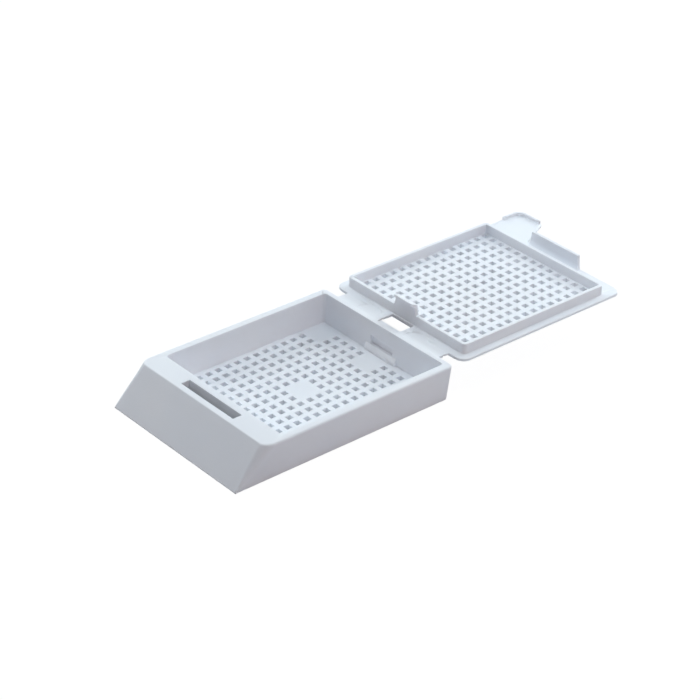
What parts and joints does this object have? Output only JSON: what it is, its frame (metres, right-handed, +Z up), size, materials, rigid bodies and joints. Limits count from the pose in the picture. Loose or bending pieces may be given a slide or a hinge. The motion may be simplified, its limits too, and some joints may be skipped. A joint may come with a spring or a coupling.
{
  "type": "tissue cassette",
  "caption": "Hinged plastic tissue cassette: perforated tray with a sloped writing face, two living-hinge straps and a snap-fit perforated lid with a thumb tab, shown open.",
  "frame": {"origin": "centre of the tray's underside, from the foot of the writing face to the rear edge", "axes": "+X from the sloped writing face towards the opened lid, +Y across the tray to the side that carries the thumb tab, +Z up"},
  "size_m": [0.0818, 0.0286, 0.0095],
  "materials": {
    "moulded_acetal": "satin moulded acetal, bluish white"
  },
  "bodies": {
    "tray": {"tray": "moulded_acetal"},
    "lid": {"lid": "moulded_acetal"}
  },
  "joints": [
    {"name": "lid_hinge", "type": "hinge", "parent": "tray", "child": "lid", "pos_m": [0.021, 0, 0.00588], "axis": [0, -1, 0], "range_deg": [0, 180]}
  ]
}
